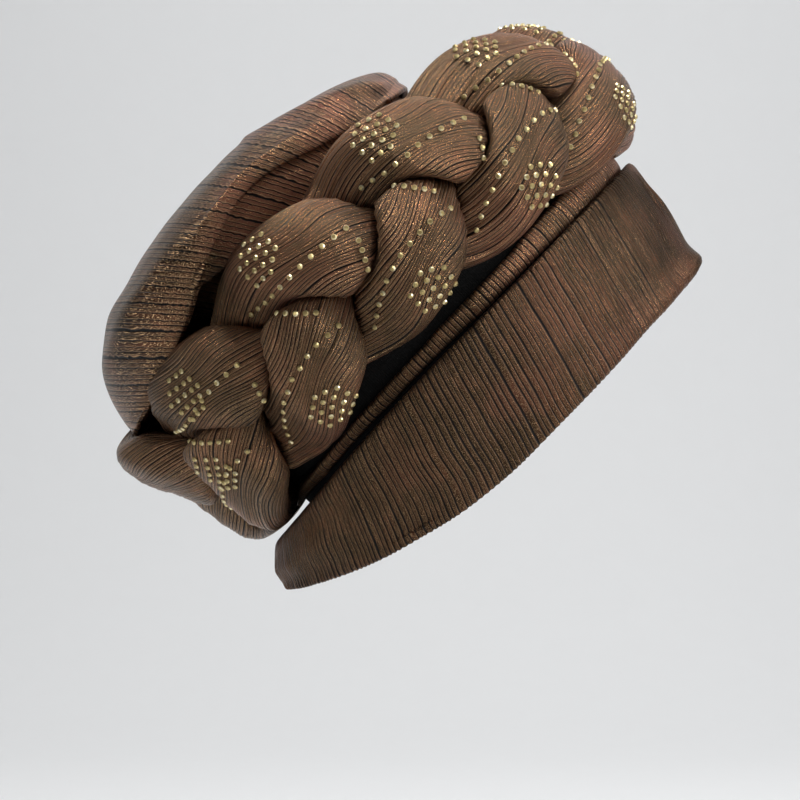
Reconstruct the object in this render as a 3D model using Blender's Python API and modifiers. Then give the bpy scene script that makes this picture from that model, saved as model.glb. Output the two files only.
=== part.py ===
"""A tied gele head tie: a ribbed metallic cloth turban worn tilted back on the head.

Seven pieces, each one object: a black inner cap over the skull, a wide headband
with a narrow roll above it, a wreath braided from three padded strands, and a
draped crown bag that rises inside the wreath.

Metres, +Z up, +X to the wearer's front, -Y to the wearer's right ear. The origin
is the centre of the head opening, between the hem at the forehead and at the nape.

The turban leans back, so most of it is laid out in the wreath's own frame:
"forward" runs in the wreath's plane from nape to brow, "near" towards the right
ear, and "up" along the wreath's axis, from the head opening to the crown bag.
"""

import math
from collections import namedtuple

import bmesh
import bpy
import numpy as np
from mathutils import Vector

# The wreath's plane and its centre, seen from the head opening
TILT = math.radians(45)
CENTRE_FORWARD = 0.0212
CENTRE_UP = 0.0809

# The padded braid that makes the wreath
WREATH_FRONT_REACH = 0.1124
WREATH_BACK_REACH = 0.1233
WREATH_HALF_WIDTH = 0.0991
WREATH_FRONT_RISE = 0.0067
WREATH_SIDE_RISE = 0.0136
WREATH_BACK_RISE = -0.0045
BRAID_HALF_WIDTH_FRONT = 0.0431
BRAID_HALF_WIDTH_SIDE = 0.0430
BRAID_HALF_WIDTH_BACK = 0.0443
BRAID_HALF_DEPTH = 0.025
BRAID_LEAN_FRONT = math.radians(-15)
BRAID_LEAN_BACK = math.radians(4)
STRANDS = 3
BRAID_PERIODS = 4
STRAND_SWING = 0.0173
STRAND_LIFT = 0.0119
STRAND_HALF_DEPTH = 0.0171
STRAND_TUCK = 0.06
STRAND_GAP_SHARE = 0.125
FIRST_LOBE = math.radians(96)
LOBE_SHIFT_ENDS = math.radians(43)
LOBE_SHIFT_SIDES = math.radians(-25)

# Cloth thicknesses and the clearance between pieces that touch
CAP_WALL = 0.0018
BAND_WALL = 0.0022
BAG_WALL = 0.0018
SEAT_GAP = 0.0003

# The inner cap over the skull, widest at the headband's fold
SKULL_HALF_LENGTH = 0.1035
SKULL_HALF_WIDTH = 0.0765
SKULL_DROP = 0.040
SKULL_HEIGHT = 0.095
SKULL_ROUNDNESS = 3.0
CAP_RIM_SHARE = 0.80

# The headband: where its hem and its top fold lie, seen from the wreath's centre
HEM_FORWARD_FRONT = 0.1000
HEM_FORWARD_BACK = -0.1385
HEM_HALF_WIDTH = 0.0790
HEM_DROP_FRONT = 0.0950
HEM_DROP_SIDE = 0.0970
HEM_DROP_BACK = 0.0660
FOLD_FORWARD_FRONT = 0.1127
FOLD_FORWARD_BACK = -0.1239
FOLD_HALF_WIDTH = 0.0855
FOLD_DROP_FRONT = 0.0403
FOLD_DROP_SIDE = 0.0425
FOLD_DROP_BACK = 0.0480
HEM_FLARE = 0.0040
BAND_BULGE = 0.0025
FOLD_CLEARANCE = 0.0015

# The roll that lies inside the headband's fold, under the braid
ROLL_HALF_HEIGHT_FRONT = 0.0075
ROLL_HALF_HEIGHT_BACK = 0.0030
ROLL_HALF_DEPTH = 0.0026
ROLL_RISE = 0.0020
ROLL_CLEARANCE = 0.0025

# The crown bag
BAG_SHIFT_BACK = 0.0340
BAG_HALF_LENGTH = 0.0970
BAG_HALF_WIDTH = 0.0960
BAG_HEIGHT = 0.0925
FOOT_SHARE = 0.90
FOOT_MARGIN = 0.06
FOOT_CLEARANCE = 0.0012

# How finely the lofts are cut
BRAID_STATIONS = 112
STRAND_POINTS = 10
RING_STATIONS = 40

# The section of the bag from its foot to its top. Length, width, shift and the heights
# are shares of the bag's own; a row with rides 1 follows the fold line instead, and its
# heights are added to that line.
BagRow = namedtuple("BagRow", "length width shift front side back rides")
BAG_ROWS = (
    BagRow(0.93, 0.77, 0.12, 0.42, 0.46, 0.38, 0),
    BagRow(0.93, 0.82, 0.60, 0.56, 0.56, 0.47, 0),
    BagRow(0.92, 0.89, 0.88, -0.03, -0.03, -0.03, 1),
    BagRow(0.94, 0.92, 0.96, 0.055, 0.055, 0.055, 1),
    BagRow(0.97, 0.96, 1.00, 0.04, 0.04, 0.04, 1),
    BagRow(0.99, 0.995, 1.00, -0.03, -0.03, -0.03, 1),
    BagRow(1.01, 1.02, 1.00, 0.02, 0.03, 0.02, 1),
    BagRow(1.01, 0.99, 1.00, 0.71, 0.79, 0.64, 0),
    BagRow(0.97, 0.86, 0.96, 0.77, 0.87, 0.74, 0),
    BagRow(0.84, 0.66, 0.92, 0.84, 0.93, 0.85, 0),
    BagRow(0.58, 0.40, 0.86, 0.92, 0.975, 0.93, 0),
    BagRow(0.28, 0.17, 0.82, 0.985, 0.995, 0.985, 0),
)

# Where the bag's outer layer folds under: degrees from the brow, share of the bag's height
FoldPoint = namedtuple("FoldPoint", "degrees height")
FOLD_LINE = (
    FoldPoint(0, 0.66), FoldPoint(40, 0.63), FoldPoint(58, 0.64), FoldPoint(68, 0.70),
    FoldPoint(78, 0.735), FoldPoint(90, 0.70), FoldPoint(104, 0.665), FoldPoint(118, 0.635),
    FoldPoint(150, 0.565), FoldPoint(180, 0.57),
)

FORWARD = Vector((math.cos(TILT), 0, math.sin(TILT)))
UP = Vector((-math.sin(TILT), 0, math.cos(TILT)))
NEAR = Vector((0, -1, 0))
CENTRE = FORWARD * CENTRE_FORWARD + UP * CENTRE_UP

COPPER = (0.27, 0.17, 0.12, 1)
BLACK = (0.012, 0.012, 0.014, 1)


def place(forward, near, up):
    """A point given in the wreath's frame, in world space."""
    return CENTRE + FORWARD * forward + NEAR * near + UP * up


def between(front, side, back, angle):
    """A value that is front at angle 0, side at a quarter turn and back at a half turn."""
    end = front if math.cos(angle) > 0 else back
    return side * math.sin(angle) ** 2 + end * math.cos(angle) ** 2


def ring_angles(count):
    return [2 * math.pi * i / count for i in range(count)]


def material(name, colour, roughness, metallic):
    made = bpy.data.materials.new(name)
    made.use_nodes = True
    shader = made.node_tree.nodes["Principled BSDF"]
    shader.inputs["Base Color"].default_value = colour
    shader.inputs["Roughness"].default_value = roughness
    shader.inputs["Metallic"].default_value = metallic
    return made


def add_object(name, mesh, finish, collection):
    for polygon in mesh.polygons:
        polygon.use_smooth = True
    made = bpy.data.objects.new(name, mesh)
    made.data.materials.append(finish)
    collection.objects.link(made)
    return made


def loft(name, rows, closed_rows, apex=None):
    """A mesh through rows of points. Each row is a ring; the rows close on themselves or stay open."""
    shape = bmesh.new()
    rings = [[shape.verts.new(point) for point in row] for row in rows]
    following = rings[1:] + rings[:1] if closed_rows else rings[1:]
    for ring, after in zip(rings, following):
        for i in range(len(ring)):
            j = (i + 1) % len(ring)
            shape.faces.new((ring[i], ring[j], after[j], after[i]))
    if apex is not None:
        top = shape.verts.new(apex)
        last = rings[-1]
        for i in range(len(last)):
            shape.faces.new((last[i], last[(i + 1) % len(last)], top))
    bmesh.ops.recalc_face_normals(shape, faces=shape.faces)
    mesh = bpy.data.meshes.new(name)
    shape.to_mesh(mesh)
    shape.free()
    return mesh


def solidify(piece, wall):
    """Gives an open surface a wall on its inner side."""
    modifier = piece.modifiers.new("Wall", "SOLIDIFY")
    modifier.thickness = wall
    modifier.offset = -1
    modifier.use_even_offset = True
    modifier.use_quality_normals = True


def wreath_reach(angle):
    """The wreath's reach to the front or to the back, whichever the angle looks to."""
    return WREATH_FRONT_REACH if math.cos(angle) > 0 else WREATH_BACK_REACH


def wreath_point(angle):
    """The braid's middle line, as (forward, near, up)."""
    return Vector((
        wreath_reach(angle) * math.cos(angle),
        WREATH_HALF_WIDTH * math.sin(angle),
        between(WREATH_FRONT_RISE, WREATH_SIDE_RISE, WREATH_BACK_RISE, angle),
    ))


def wreath_axes(angle):
    """Unit vectors at the braid's middle line: outward, and across it towards the headband."""
    step = 1e-4
    along = (wreath_point(angle + step) - wreath_point(angle - step)).normalized()
    outward = Vector((
        math.cos(angle) / wreath_reach(angle),
        math.sin(angle) / WREATH_HALF_WIDTH,
        0,
    )).normalized()
    lean = between(BRAID_LEAN_FRONT, 0, BRAID_LEAN_BACK, angle)
    outward = outward * math.cos(lean) + Vector((0, 0, -math.sin(lean)))
    outward = (outward - along * outward.dot(along)).normalized()
    across = outward.cross(along)
    return outward, across if across.z < 0 else -across


def braid_half_width(angle):
    return between(BRAID_HALF_WIDTH_FRONT, BRAID_HALF_WIDTH_SIDE, BRAID_HALF_WIDTH_BACK, angle)


def strand_phase(strand, angle):
    """How far a strand is along its own crossing, in radians; a lobe is a half turn long."""
    shift = LOBE_SHIFT_ENDS * math.cos(angle) + LOBE_SHIFT_SIDES * math.sin(2 * angle)
    turn = BRAID_PERIODS * (angle - FIRST_LOBE) + math.pi / 2 + shift
    return turn + 2 * math.pi * strand / STRANDS


def strand_centre(phase):
    """Where a strand's middle lies in the braid's cross-section: across and outward."""
    return np.array((
        STRAND_SWING * math.sin(phase),
        STRAND_LIFT * math.sin(2 * phase),
    ))


def strand_section(strand, angle):
    """A strand's middle and its outline round it at one station, as (across, outward).

    The outline is the strand's own padded oval, kept inside the braid's oval and
    on its own side of the lines half way to the other strands.
    """
    phases = [strand_phase(k, angle) for k in range(STRANDS)]
    middle = strand_centre(phases[strand])
    others = [strand_centre(phases[k]) for k in range(STRANDS) if k != strand]
    half_width = braid_half_width(angle)
    tuck = 1 - STRAND_TUCK * (1 - math.sin(2 * phases[strand])) / 2
    own = np.array(((half_width - STRAND_SWING) * tuck, STRAND_HALF_DEPTH))
    whole = np.array((half_width, BRAID_HALF_DEPTH))
    points = []
    for around in ring_angles(STRAND_POINTS):
        ray = np.array((math.cos(around), math.sin(around)))
        reach = 1 / np.linalg.norm(ray / own)
        a = np.sum((ray / whole) ** 2)
        b = np.sum(ray * middle / whole ** 2)
        c = np.sum((middle / whole) ** 2) - 1
        reach = min(reach, (math.sqrt(b * b - a * c) - b) / a)
        for other in others:
            away = other - middle
            distance = np.linalg.norm(away)
            facing = ray @ away / distance
            if facing > 0:
                reach = min(reach, (distance - STRAND_GAP_SHARE * half_width) / 2 / facing)
        points.append(ray * reach)
    return middle, points


def clear_of_head(point):
    """Whether a point of the braid lies clear of the inner cap, the roll and the headband."""
    forward = point.x / SKULL_HALF_LENGTH
    near = point.y / SKULL_HALF_WIDTH
    angle = math.atan2(near, forward)
    level = max(0, (point.z + SKULL_DROP) / SKULL_HEIGHT)
    layer = SEAT_GAP
    if level > foot_level() - FOOT_MARGIN:
        layer += BAG_WALL + FOOT_CLEARANCE
    beyond = 1 + 2 * layer / SKULL_HALF_WIDTH
    around = math.hypot(forward, near) / beyond
    if around ** SKULL_ROUNDNESS + level ** SKULL_ROUNDNESS < 1:
        return False
    fold = fold_point(angle)
    beyond_fold = math.hypot(point.x, point.y) - math.hypot(fold.x, fold.y)
    if point.z < fold.z + FOLD_CLEARANCE and beyond_fold < BAND_BULGE + FOLD_CLEARANCE:
        return False
    middle = roll_middle(angle)
    out = math.hypot(point.x, point.y) - math.hypot(middle.x, middle.y)
    depth = out / (ROLL_HALF_DEPTH + ROLL_CLEARANCE)
    height = (point.z - middle.z) / (roll_half_height(angle) + ROLL_CLEARANCE)
    return depth > 0 and math.hypot(depth, height) > 1 or height > 1


def clear_point(centre, point):
    """The point, or the last one on the way to it from the centre that is clear of the head."""
    if clear_of_head(point):
        return point
    inside, outside = 0.0, 1.0
    for _ in range(14):
        share = (inside + outside) / 2
        if clear_of_head(centre.lerp(point, share)):
            inside = share
        else:
            outside = share
    return centre.lerp(point, inside)


def build_strand(strand, finish, collection):
    rows = []
    for angle in ring_angles(BRAID_STATIONS):
        line = wreath_point(angle)
        outward, across = wreath_axes(angle)
        middle, outline = strand_section(strand, angle)
        centre = line + across * middle[0] + outward * middle[1]
        row = []
        for x, z in outline:
            point = clear_point(centre, centre + across * x + outward * z)
            row.append(place(*point))
        rows.append(row)
    name = f"braid_strand_{strand + 1}"
    return add_object(name, loft(name, rows, True), finish, collection)


def skull(angle, level):
    """A point of the inner cap: level 0 is its widest ring, 1 its top."""
    around = (1 - level ** SKULL_ROUNDNESS) ** (1 / SKULL_ROUNDNESS)
    return Vector((
        SKULL_HALF_LENGTH * around * math.cos(angle),
        SKULL_HALF_WIDTH * around * math.sin(angle),
        -SKULL_DROP + SKULL_HEIGHT * level,
    ))


def ring_point(angle, front, back, half_width, drops):
    """A point of a ring given by its foremost and rearmost reach, its half width and its drops."""
    middle = (front + back) / 2
    return Vector((
        middle + (front - back) / 2 * math.cos(angle),
        half_width * math.sin(angle),
        -between(*drops, angle),
    ))


def fold_point(angle):
    drops = (FOLD_DROP_FRONT, FOLD_DROP_SIDE, FOLD_DROP_BACK)
    return ring_point(angle, FOLD_FORWARD_FRONT, FOLD_FORWARD_BACK, FOLD_HALF_WIDTH, drops)


def hem_point(angle):
    drops = (HEM_DROP_FRONT, HEM_DROP_SIDE, HEM_DROP_BACK)
    return ring_point(angle, HEM_FORWARD_FRONT, HEM_FORWARD_BACK, HEM_HALF_WIDTH, drops)


def ring_normal(angle, half_length, half_width):
    return Vector((
        math.cos(angle) / half_length,
        math.sin(angle) / half_width,
        0,
    )).normalized()


def band_point(angle, share, stand_off):
    """A point of the headband's face: share 0 at the fold, 1 at the hem, pushed outward."""
    outward = ring_normal(angle, SKULL_HALF_LENGTH, SKULL_HALF_WIDTH)
    bulge = BAND_BULGE * math.sin(math.pi * share)
    return fold_point(angle).lerp(hem_point(angle), share) + outward * (bulge + stand_off)


def band_section(angle):
    """The headband's outer side, from its top fold down to its flared hem."""
    points = [band_point(angle, share, 0) for share in (0, 0.3, 0.6, 0.84)]
    points.append(band_point(angle, 1, HEM_FLARE))
    return points


def cap_section(angle):
    """The inner cap from its rim inside the headband to near its top."""
    waist = skull(angle, 0)
    waist.z = roll_middle(angle).z - roll_half_height(angle) - ROLL_CLEARANCE
    face = hem_point(angle) - fold_point(angle)
    slant = face.length / abs(face.z)
    rim = band_point(angle, CAP_RIM_SHARE, -(BAND_WALL + SEAT_GAP) * slant)
    lower = [rim, rim.lerp(waist, 0.4), waist]
    upper = [skull(angle, level) for level in (0, 0.32, foot_level(), 0.83, 0.94, 0.99)]
    return lower + upper


def roll_half_height(angle):
    share = math.cos(angle / 2) ** 4
    return ROLL_HALF_HEIGHT_BACK + (ROLL_HALF_HEIGHT_FRONT - ROLL_HALF_HEIGHT_BACK) * share


def roll_middle(angle):
    """The roll's middle line, just clear of the inner cap at the headband's fold."""
    outward = ring_normal(angle, SKULL_HALF_LENGTH, SKULL_HALF_WIDTH)
    middle = skull(angle, 0) + outward * (ROLL_HALF_DEPTH + SEAT_GAP)
    middle.z = fold_point(angle).z + ROLL_RISE
    return middle


def roll_section(angle):
    """The roll: a soft oval that rests on the inner cap."""
    outward = ring_normal(angle, SKULL_HALF_LENGTH, SKULL_HALF_WIDTH)
    points = []
    for around in ring_angles(8):
        side = outward * ROLL_HALF_DEPTH * math.cos(around)
        rise = Vector((0, 0, roll_half_height(angle) * math.sin(around)))
        points.append(roll_middle(angle) + side + rise)
    return points


def fold_height(angle):
    """How high the bag's outer layer folds under at this angle, as a share of its height."""
    degrees = [point.degrees for point in FOLD_LINE]
    heights = [point.height for point in FOLD_LINE]
    turned = abs((math.degrees(angle) + 180) % 360 - 180)
    samples = [np.interp(abs(turned + step), degrees, heights) for step in (-8, -4, 0, 4, 8)]
    return float(np.mean(samples))


def foot_level():
    """How far up the inner cap the bag's foot rests."""
    return (1 - FOOT_SHARE ** SKULL_ROUNDNESS) ** (1 / SKULL_ROUNDNESS)


def bag_foot(angle):
    """The bag's open lower edge, resting on the inner cap inside the wreath."""
    outward = ring_normal(angle, SKULL_HALF_LENGTH, SKULL_HALF_WIDTH)
    return skull(angle, foot_level()) + outward * (BAG_WALL + SEAT_GAP)


def bag_section(angle):
    points = [bag_foot(angle)]
    for row in BAG_ROWS:
        height = between(row.front, row.side, row.back, angle)
        if row.rides:
            height += fold_height(angle)
        points.append(Vector((
            -BAG_SHIFT_BACK * row.shift + BAG_HALF_LENGTH * row.length * math.cos(angle),
            BAG_HALF_WIDTH * row.width * math.sin(angle),
            BAG_HEIGHT * height,
        )))
    return points


def build_ring(name, section, finish, collection, wall=0, apex=None, closed=False):
    """A piece lofted round the head from one section at each angle."""
    sections = [section(angle) for angle in ring_angles(RING_STATIONS)]
    rows = [[place(*part[i]) for part in sections] for i in range(len(sections[0]))]
    top = place(*apex) if apex else None
    piece = add_object(name, loft(name, rows, closed, top), finish, collection)
    if wall:
        solidify(piece, wall)
    return piece


def build_part():
    for old in list(bpy.data.objects):
        bpy.data.objects.remove(old)
    collection = bpy.data.collections.new("tied_gele_head_tie")
    bpy.context.scene.collection.children.link(collection)
    band_cloth = material("headband_lurex", COPPER, 0.4, 0.7)
    roll_cloth = material("roll_lurex", COPPER, 0.4, 0.7)
    bag_cloth = material("bag_lurex", COPPER, 0.45, 0.6)
    knit = material("cap_knit", BLACK, 0.95, 0)
    skull_top = (0, 0, SKULL_HEIGHT - SKULL_DROP)
    bag_top = (-BAG_SHIFT_BACK * 0.8, 0, BAG_HEIGHT)
    build_ring("under_cap", cap_section, knit, collection, CAP_WALL, skull_top)
    build_ring("headband", band_section, band_cloth, collection, BAND_WALL)
    build_ring("band_roll", roll_section, roll_cloth, collection, closed=True)
    build_ring("crown_bag", bag_section, bag_cloth, collection, BAG_WALL, bag_top)
    for strand in range(STRANDS):
        strand_cloth = material(f"braid_lurex_{strand + 1}", COPPER, 0.42, 0.7)
        build_strand(strand, strand_cloth, collection)


build_part()
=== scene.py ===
"""The looks of a tied gele head tie: ribbed metallic cloth, padded braid and gold stones.

Metres, +Z up, +X to the wearer's front, -Y to the wearer's right ear. As in the
CAD model, most of it is laid out in the wreath's own frame, as (forward, near, up).
Every cloth surface is a grid whose columns follow the cloth's ribs, and its UV
map holds the rib's number across and the distance along the rib in millimetres.
"""

import math

import bpy
import numpy as np
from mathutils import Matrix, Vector


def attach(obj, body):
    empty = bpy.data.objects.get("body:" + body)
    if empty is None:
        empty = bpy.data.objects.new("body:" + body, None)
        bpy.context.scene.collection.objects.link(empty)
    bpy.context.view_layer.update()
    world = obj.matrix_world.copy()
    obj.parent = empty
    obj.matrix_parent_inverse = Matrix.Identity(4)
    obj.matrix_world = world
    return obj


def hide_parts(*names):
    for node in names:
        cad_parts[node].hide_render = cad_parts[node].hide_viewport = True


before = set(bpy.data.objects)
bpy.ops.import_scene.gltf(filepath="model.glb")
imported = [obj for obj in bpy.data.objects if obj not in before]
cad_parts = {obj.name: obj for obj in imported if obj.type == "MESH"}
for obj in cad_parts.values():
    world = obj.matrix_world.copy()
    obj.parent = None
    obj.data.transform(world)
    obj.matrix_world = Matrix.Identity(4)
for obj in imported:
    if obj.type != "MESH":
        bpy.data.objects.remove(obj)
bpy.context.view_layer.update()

# The wreath's plane, its centre and the braid, as in the CAD model
TILT = math.radians(45)
CENTRE_FORWARD = 0.0212
CENTRE_UP = 0.0809
WREATH_FRONT_REACH = 0.1124
WREATH_BACK_REACH = 0.1233
WREATH_HALF_WIDTH = 0.0991
WREATH_FRONT_RISE = 0.0067
WREATH_SIDE_RISE = 0.0136
WREATH_BACK_RISE = -0.0045
BRAID_HALF_WIDTH_FRONT = 0.0431
BRAID_HALF_WIDTH_SIDE = 0.0430
BRAID_HALF_WIDTH_BACK = 0.0443
BRAID_HALF_DEPTH = 0.025
BRAID_LEAN_FRONT = math.radians(-15)
BRAID_LEAN_BACK = math.radians(4)
STRANDS = 3
BRAID_PERIODS = 4
STRAND_SWING = 0.0173
STRAND_LIFT = 0.0119
STRAND_HALF_DEPTH = 0.0171
STRAND_TUCK = 0.06
FIRST_LOBE = math.radians(96)
LOBE_SHIFT_ENDS = math.radians(43)
LOBE_SHIFT_SIDES = math.radians(-25)

# The inner cap over the skull, widest at the headband's fold
SKULL_HALF_LENGTH = 0.1035
SKULL_HALF_WIDTH = 0.0765
SKULL_DROP = 0.040
SKULL_HEIGHT = 0.095
SKULL_ROUNDNESS = 3.0
CAP_RIM_SHARE = 0.80
CAP_WALL = 0.0018

# The headband and the roll
HEM_FORWARD_FRONT = 0.1000
HEM_FORWARD_BACK = -0.1385
HEM_HALF_WIDTH = 0.0790
HEM_DROPS = (0.0950, 0.0970, 0.0660)
FOLD_FORWARD_FRONT = 0.1127
FOLD_FORWARD_BACK = -0.1239
FOLD_HALF_WIDTH = 0.0855
FOLD_DROPS = (0.0403, 0.0425, 0.0480)
FOLD_CLEARANCE = 0.0015
HEM_FLARE = 0.0042
NAPE_BAND_PUSH = 0.0036
BAND_BULGE = 0.0025
BAND_WALL = 0.0022
ROLL_HALF_HEIGHT_FRONT = 0.0075
ROLL_HALF_HEIGHT_BACK = 0.0030
ROLL_HALF_DEPTH = 0.0026
CREASE_FRONT = 0.0012
CREASE_BACK = 0.0050
ROLL_CLEARANCE = 0.0012

# The crown bag
BAG_SHIFT_BACK = 0.0340
BAG_HALF_LENGTH = 0.0970
BAG_HALF_WIDTH = 0.0960
BAG_HEIGHT = 0.0925
BAG_WALL = 0.0014
FOOT_SHARE = 0.90
SEAT_GAP = 0.0003

# Rows of the bag from foot to top: length, width, shift and heights as shares of the
# bag's own. A row with rides 1 follows the fold line, and its heights are added to it.
# The last column is the share of the flare at the back.
BAG_ROWS = np.array((
    # length, width, shift, front, side, back, rides, flare
    (0.93, 0.81, 0.12, 0.42, 0.46, 0.38, 0, 0.0),
    (0.95, 0.92, 0.94, 0.57, 0.58, 0.45, 0, 0.7),
    (0.955, 0.94, 0.98, -0.02, -0.02, -0.02, 1, 0.8),
    (0.96, 0.945, 1.00, 0.05, 0.05, 0.05, 1, 0.9),
    (0.975, 0.97, 1.00, 0.035, 0.035, 0.035, 1, 1.0),
    (1.00, 1.015, 1.00, -0.03, -0.03, -0.03, 1, 1.0),
    (1.01, 1.03, 1.00, 0.02, 0.03, 0.02, 1, 1.0),
    (1.01, 0.99, 1.00, 0.71, 0.79, 0.62, 0, 0.1),
    (0.97, 0.86, 0.96, 0.77, 0.87, 0.74, 0, -0.5),
    (0.84, 0.66, 0.92, 0.84, 0.93, 0.85, 0, -0.6),
    (0.58, 0.40, 0.86, 0.92, 0.975, 0.93, 0, -0.2),
    (0.28, 0.17, 0.82, 0.985, 0.995, 0.985, 0, 0.0),
))

# Where the bag's outer layer folds under: degrees from the brow, share of its height
FOLD_LINE = np.array((
    (0, 0.66), (40, 0.62), (50, 0.63), (58, 0.66), (66, 0.69), (74, 0.735), (82, 0.76), (90, 0.73),
    (98, 0.69), (106, 0.625), (114, 0.565), (122, 0.505), (134, 0.440), (150, 0.395), (180, 0.385),
))
BAG_BACK_FLARE = 0.0065

# The soft crease under the bag's top lip, as (world x, world z), the same on both sides
BAG_RIDGE = (
    (-0.0500, 0.1550), (-0.0591, 0.1524), (-0.0679, 0.1489), (-0.0767, 0.1445), (-0.0856, 0.1409),
    (-0.0944, 0.1370), (-0.1010, 0.1321), (-0.1077, 0.1290),
)
BAG_RIDGE_HEIGHT = 0.0016
BAG_RIDGE_WIDTH = 0.0035

# Ribs: how many, how deep, and how many mesh columns each has
STRAND_RIBS = 76
STRAND_RIB_DEPTH = 0.00045
BAND_RIBS = 270
BAND_RIB_DEPTH = 0.00035
RIB_COLUMNS = 4
STRAND_STATIONS = 256
STRAND_GAP = 0.0008
BAG_COLUMNS = 320
BAG_ROW_COUNT = 150
BAG_RIB_PITCH = 0.0021
BAG_FAN = (0.25, 0.0)
BAG_FAN_REACH = 0.36

# How far the braid's outer side is pushed out at the nape, by height in the wreath's frame
NAPE_HEIGHTS = (-0.042, -0.029, -0.018, -0.008, 0.002, 0.010, 0.020, 0.030, 0.040)
NAPE_PUSHES = (0.000, -0.004, -0.006, -0.006, -0.003, 0.002, 0.007, 0.012, 0.014)

# Stones
STONE_RADIUS = 0.00125
STONE_HEIGHT = 0.0008
STONE_SEAT = 0.0004
STONE_SIDES = 8

FORWARD = np.array((math.cos(TILT), 0, math.sin(TILT)))
UP = np.array((-math.sin(TILT), 0, math.cos(TILT)))
NEAR = np.array((0, -1, 0))
CENTRE = FORWARD * CENTRE_FORWARD + UP * CENTRE_UP

# The photograph's camera: 0.465 mm a pixel at the middle plane, seen from a metre away
PIXEL = 0.000465
CAMERA_DISTANCE = 1.0
PHOTO_MIDDLE = 400
ORIGIN_PIXEL = (489, 431.5)


def place(points):
    """Points given in the wreath's frame, in world space."""
    return CENTRE + points @ np.array((FORWARD, NEAR, UP))


def join(*columns):
    return np.stack(np.broadcast_arrays(*columns), axis=-1)


def between(front, side, back, angle):
    """A value that is front at angle 0, side at a quarter turn and back at a half turn."""
    end = np.where(np.cos(angle) > 0, front, back)
    return side * np.sin(angle) ** 2 + end * np.cos(angle) ** 2


def length_of(vectors):
    return np.linalg.norm(vectors, axis=-1, keepdims=True)


def unit(vectors):
    return vectors / np.maximum(length_of(vectors), 1e-12)


def around_ring(count):
    return np.arange(count) * 2 * math.pi / count


def wobble(x, y, seed):
    """A smooth, repeatable unevenness between about -1 and 1."""
    total = 0
    for k in range(1, 5):
        shift = seed * 1.7 + k * 2.3
        total = total + np.sin(x * k * 1.31 + shift + 1.1 * np.sin(y * 0.7 * k + shift)) / k
    return total / 2.1


def resample(rows, count, closed=False):
    """Smooth rows through the given ones, evenly spaced along the surface."""
    if closed:
        rows = np.concatenate((rows, rows[:1]))
    gaps = length_of(np.diff(rows, axis=0)).mean(axis=(1, 2))
    knots = np.concatenate(((0,), np.cumsum(gaps)))
    slopes = np.empty_like(rows)
    step = np.diff(rows, axis=0) / gaps[:, None, None]
    before, after = gaps[:-1, None, None], gaps[1:, None, None]
    slopes[1:-1] = (step[:-1] * after + step[1:] * before) / (before + after)
    slopes[0] = (step[0] + step[-1]) / 2 if closed else step[0]
    slopes[-1] = slopes[0] if closed else step[-1]
    at = np.linspace(0, knots[-1], count + 1 if closed else count)
    if closed:
        at = at[:-1]
    i = np.clip(np.searchsorted(knots, at, side="right") - 1, 0, len(gaps) - 1)
    span = gaps[i][:, None, None]
    t = (at - knots[i])[:, None, None] / span
    return (
        (2 * t ** 3 - 3 * t ** 2 + 1) * rows[i]
        + (t ** 3 - 2 * t ** 2 + t) * span * slopes[i]
        + (3 * t ** 2 - 2 * t ** 3) * rows[i + 1]
        + (t ** 3 - t ** 2) * span * slopes[i + 1]
    )


def surface_normals(grid, close_rows):
    """Outward normals of a grid (rows, columns, 3) whose columns close on themselves."""
    across = np.roll(grid, -1, axis=1) - np.roll(grid, 1, axis=1)
    if close_rows:
        along = np.roll(grid, -1, axis=0) - np.roll(grid, 1, axis=0)
    else:
        along = np.gradient(grid, axis=0)
    normals = np.cross(across, along)
    away = grid - grid.mean(axis=1, keepdims=True)
    if (normals * away).sum() < 0:
        normals = -normals
    return unit(normals)


def face_outward(mesh, middles):
    """Turns the faces of a mesh made from a grid away from the middles of its rows."""
    centres = np.empty(len(mesh.polygons) * 3)
    normals = np.empty(len(mesh.polygons) * 3)
    areas = np.empty(len(mesh.polygons))
    mesh.polygons.foreach_get("center", centres)
    mesh.polygons.foreach_get("normal", normals)
    mesh.polygons.foreach_get("area", areas)
    count = len(middles)
    away = centres.reshape(-1, 3)[:count] - middles
    if ((normals.reshape(-1, 3)[:count] * away).sum(-1) * areas[:count]).sum() < 0:
        mesh.flip_normals()


def uneven(rib, count):
    """Rib numbers spaced a little unevenly, the same again after count ribs."""
    turn = 2 * math.pi * rib / count
    shift = 0
    for share, size, start in ((0.07, 0.30, 0.4), (0.19, 0.13, 2.1), (0.31, 0.09, 4.0), (0.43, 0.06, 1.2)):
        shift = shift + size * np.sin(turn * round(share * count) + start)
    return rib + shift


def rib_profile(phase):
    """A rib's height over its width: a round back between two narrow grooves."""
    return np.abs(np.sin(math.pi * phase)) ** 0.6 - 0.7


def groove_depth(phase, seed):
    """How deep the groove nearest to this place is, as a share: no two are quite alike."""
    chance = np.modf(np.abs(np.sin(np.round(phase) * 12.9898 + seed * 4.1)) * 437.585)[0]
    return 0.75 + 0.4 * chance


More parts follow.
